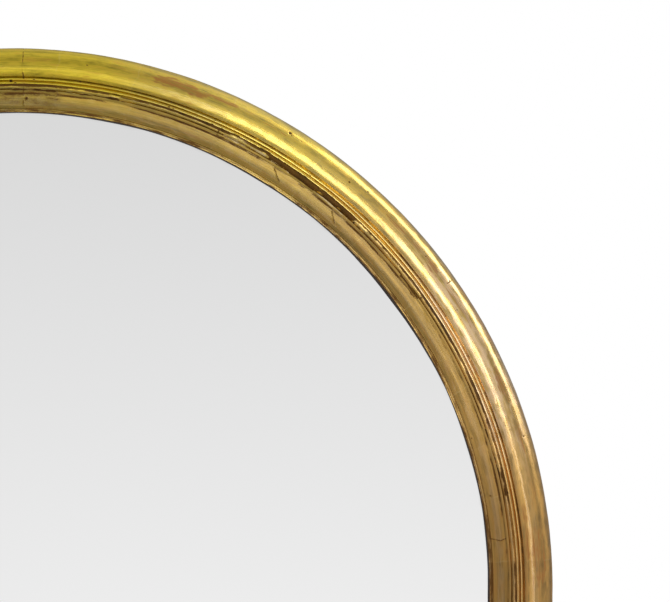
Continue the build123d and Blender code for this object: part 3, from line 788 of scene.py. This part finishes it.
def felt():
    """Matted wool: two sizes of noise for the fibres, with a soft sheen."""
    material, start = start_material("pressed_felt")
    place = start.node("ShaderNodeTexCoord", output="Object")
    fibre = cloud(place, (1800, 1800, 1800), detail=4, bend=1.5)
    clump = cloud(place, (300, 300, 300), detail=3, seed=2.0)
    deep_wool, top_wool = (0.10, 0.09, 0.075), (0.21, 0.19, 0.16)
    colour = lit(painted(smooth(fibre, 0.4, 0.65), deep_wool, top_wool), 0.75 + 0.5 * clump)
    return close_material(material, start, {
        "Base Color": colour, "Roughness": 0.95, "Sheen Weight": 0.3,
        "Normal": raised(fibre + 0.5 * clump, 0.0004)})


dress(["wall_bumper_left", "wall_bumper_right"], felt())

# The studio: a pale floor that runs out to white, a wide softbox high on the right and a strip light
# low on the left in front, and a white surround. Metal and glass see the surround and the far floor
# toned down towards the sides, as in a room that is white only round the camera.
floor_reach, shadow_reach, toning_reach = 2.6, (0.6, 2.0), (0.9, 2.5)
near_tone, side_tone = 0.70, 0.46


def ray_kinds(start):
    """Whether a ray comes from the camera, off a shiny surface or through a clear one."""
    kinds = ("Is Camera Ray", "Is Glossy Ray", "Is Transmission Ray")
    return [start.node("ShaderNodeLightPath", output=kind) for kind in kinds]


def floor_paint():
    """Pale paint near the object, giving way with the distance to white as the camera sees it, and to a
    toned white as metal and glass see it."""
    material, start = start_material("floor_paint")
    place = start.node("ShaderNodeTexCoord", output="Object")
    away = place.node("ShaderNodeVectorMath", {"operation": "LENGTH"}, {0: place}, "Value")
    seen = ray_kinds(start)
    mirrored = smooth(away, *toning_reach, near_tone, side_tone)
    tone = mirrored + (1 - mirrored) * seen[0]
    white = start.node("ShaderNodeEmission", (), {"Color": (1, 1, 1), "Strength": tone})
    paint = start.node("ShaderNodeBsdfDiffuse", (), {"Color": (0.82, 0.82, 0.82)})
    factor = higher(*seen) * smooth(away, *shadow_reach)
    surface = start.node("ShaderNodeMixShader", (), {0: factor, 1: paint, 2: white})
    start.node("ShaderNodeOutputMaterial", (), {"Surface": surface})
    return material


floor_mesh = bpy.data.meshes.new("floor")
floor_corners = [(-floor_reach, -floor_reach, 0), (floor_reach, -floor_reach, 0),
                 (floor_reach, floor_reach, 0), (-floor_reach, floor_reach, 0)]
floor_mesh.from_pydata(floor_corners, [], [(0, 1, 2, 3)])
floor_mesh.materials.append(floor_paint())
floor = bpy.data.objects.new("floor", floor_mesh)
bpy.context.collection.objects.link(floor)

world = bpy.data.worlds.new("surround")
bpy.context.scene.world = world
world.use_nodes = True
world.node_tree.nodes.clear()
world.cycles.sampling_method = "NONE"
start = Shade(world.node_tree)
direction = start.node("ShaderNodeTexCoord", output="Generated")
x, y, z = (start.node("ShaderNodeSeparateXYZ", (), {0: direction}, axis) for axis in "XYZ")
camera_ray, glossy_ray, clear_ray = ray_kinds(start)
# In metal and glass the surround is brighter overhead, darker behind the mirror, and lighter straight
# in front of it, the more so lower down
ahead = smooth(y, -0.99, -0.90, 1.0, 0.0)
sides = side_tone + 0.44 * smooth(z, 0.45, 0.95) - 0.16 * smooth(y, 0.1, 0.7)
mirrored = sides + ahead * (0.76 - 0.75 * z - sides)
soft_fill = 0.78
tone = higher(glossy_ray, clear_ray) * (mirrored - soft_fill) + soft_fill
tone = camera_ray * (1 - tone) + tone
backdrop = start.node("ShaderNodeBackground", (), {"Color": (1, 1, 1), "Strength": tone})
start.node("ShaderNodeOutputWorld", (), {"Surface": backdrop})

frame_pieces = bpy.data.collections.new("lit_by_softboxes")
for piece in bpy.data.objects:
    if piece.type == "MESH" and piece.name not in ("mirror_plate", "floor"):
        frame_pieces.objects.link(piece)


def softbox(name, place, target, long_way, length, breadth, radiance):
    """A lamp that faces its target, with its length along long_way as nearly as that allows. Its power
    is its radiance times its area times pi. It lights all but the glass and the floor, so that neither
    shows it."""
    lamp = bpy.data.lights.new(name, "AREA")
    lamp.shape, lamp.size, lamp.size_y = "RECTANGLE", length, breadth
    lamp.energy = radiance * math.pi * length * breadth
    away = (Vector(place) - Vector(target)).normalized()
    across = away.cross(Vector(long_way)).normalized()
    holder = bpy.data.objects.new(name, lamp)
    holder.location = place
    holder.rotation_euler = Matrix((across.cross(away), across, away)).transposed().to_euler()
    holder.visible_camera = False
    holder.light_linking.receiver_collection = frame_pieces
    bpy.context.collection.objects.link(holder)


softbox("high_softbox", (2.55, -0.7, 2.5), (0.3, 0.0, 1.0), (0.55, 0.0, -0.83), 2.5, 1.4, 2.6)
softbox("strip_light", (-0.36, -0.9, 0.34), (0.3, 0.0, 1.0), (0.53, 0.0, 0.85), 1.0, 0.25, 3.4)

# The camera looks square at the glass from the middle of the photographed quarter, from so far that
# one picture width covers 0.528 m of the roll's widest line.
photo_width = 0.5279
view_middle = Vector((0.2533, -0.0055, 0.9507))
camera_distance = 1.9
camera_data = bpy.data.cameras.new("camera")
camera_data.sensor_width = 36
camera_data.lens = camera_data.sensor_width * camera_distance / photo_width
camera = bpy.data.objects.new("camera", camera_data)
camera.location = view_middle - Vector((0, camera_distance, 0))
camera.rotation_euler = (math.pi / 2, 0, 0)
bpy.context.collection.objects.link(camera)
bpy.context.scene.camera = camera
bpy.context.scene.view_settings.view_transform = "Standard"
